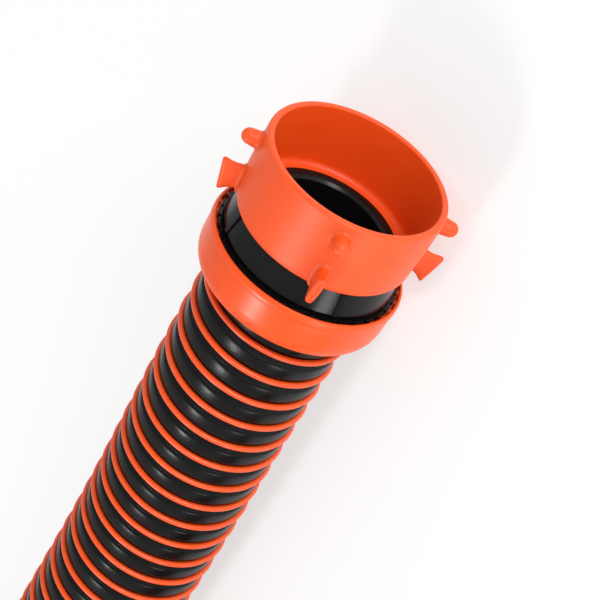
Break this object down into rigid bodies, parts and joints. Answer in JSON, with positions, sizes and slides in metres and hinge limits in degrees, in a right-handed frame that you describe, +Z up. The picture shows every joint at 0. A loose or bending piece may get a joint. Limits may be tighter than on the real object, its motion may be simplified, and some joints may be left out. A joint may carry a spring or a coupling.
{
  "type": "sewer hose kit",
  "caption": "Corrugated waste hose with a bright spiral bead, a swivel lug fitting on one end and a swivel bayonet fitting on the other, lying in a tied coil.",
  "frame": {"origin": "centre of the lug fitting's mouth, on the fitting's axis", "axes": "+X out of the lug fitting's mouth along its axis, +Z up from the surface that the kit lies on, 54 mm below the origin"},
  "size_m": [1.2301, 1.1212, 0.108],
  "materials": {
    "orange_plastic": "moulded, satin gloss",
    "black_plastic": "moulded, satin gloss",
    "hose_wall": "glossy thermoplastic elastomer",
    "seal_rubber": "matt",
    "webbing": "woven nylon"
  },
  "bodies": {
    "hose": {"lug_sleeve": "black_plastic", "lug_seal": "seal_rubber", "lug_base_ring": "black_plastic", "lug_snap_ring": "black_plastic", "lug_insert": "black_plastic", "lug_collar": "orange_plastic", "bayonet_sleeve": "black_plastic", "bayonet_seal": "seal_rubber", "bayonet_base_ring": "black_plastic", "bayonet_snap_ring": "black_plastic", "bayonet_insert": "black_plastic", "bayonet_collar": "orange_plastic", "hose_run": "hose_wall", "hose_turn_1": "hose_wall", "hose_turn_2": "hose_wall", "hose_turn_3": "hose_wall", "hose_tail": "hose_wall", "tie_strap": "webbing", "tie_keeper": "orange_plastic"},
    "lug_coupler": {"lug_cup": "orange_plastic"},
    "bayonet": {"bayonet_coupler": "orange_plastic", "bayonet_gasket": "seal_rubber"}
  },
  "joints": [
    {"name": "lug_swivel", "type": "hinge", "parent": "hose", "child": "lug_coupler", "pos_m": [0, 0, 0], "axis": [1, 0, 0], "continuous": true},
    {"name": "bayonet_swivel", "type": "hinge", "parent": "hose", "child": "bayonet", "pos_m": [-0.87161, -0.79946, 0], "axis": [0.5, -0.866, 0], "continuous": true}
  ]
}
